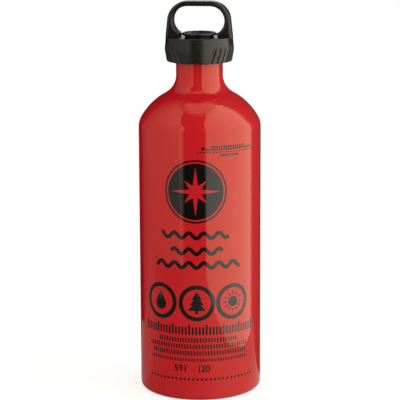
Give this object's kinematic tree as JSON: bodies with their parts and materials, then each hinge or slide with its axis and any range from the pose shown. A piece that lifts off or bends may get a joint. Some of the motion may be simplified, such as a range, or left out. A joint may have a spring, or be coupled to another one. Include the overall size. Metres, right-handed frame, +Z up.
{
  "type": "camping fuel bottle",
  "caption": "Slim red metal fuel bottle with a rounded shoulder and a black push-and-turn screw cap with a carrying loop.",
  "frame": {"origin": "on the bottle's axis, on the flat ring that it stands on", "axes": "+Z up the bottle's axis to the loop; the printed front faces -Y; the loop spans X, turned 7 degrees about Z"},
  "size_m": [0.0736, 0.0736, 0.2369],
  "materials": {
    "red_enamel": "glossy translucent red enamel over aluminium",
    "seal_rubber": "smooth matt",
    "plug_nylon": "moulded, satin",
    "spring_steel": "rolled strip",
    "hub_nylon": "moulded, satin",
    "cap_nylon": "moulded, semi-gloss"
  },
  "bodies": {
    "bottle": {"bottle_shell": "red_enamel"},
    "seal": {"neck_o_ring": "seal_rubber"},
    "plug": {"threaded_plug": "plug_nylon"},
    "hub": {"retaining_hub": "hub_nylon", "return_spring": "spring_steel"},
    "grip": {"grip_cap": "cap_nylon"}
  },
  "joints": [
    {"name": "cap_rise", "type": "slide", "parent": "bottle", "child": "seal", "axis": [0, 0, 1], "range_m": [0, 0.021]},
    {"name": "cap_turn", "type": "hinge", "parent": "seal", "child": "plug", "pos_m": [0, 0, 0.2068], "axis": [0, 0, 1], "range_deg": [0, 2520]},
    {"name": "shell_spin", "type": "hinge", "parent": "plug", "child": "hub", "pos_m": [0, 0, 0.2068], "axis": [0, 0, 1], "continuous": true},
    {"name": "shell_press", "type": "slide", "parent": "hub", "child": "grip", "axis": [0, 0, -1], "range_m": [0, 0.0015], "stiffness_N_per_m": 6000, "springref_m": -0.001, "deforming": ["return_spring"]}
  ],
  "couplings": [
    {"joint": "cap_rise", "follows": "cap_turn", "m_per_rad": 0.00047746}
  ]
}
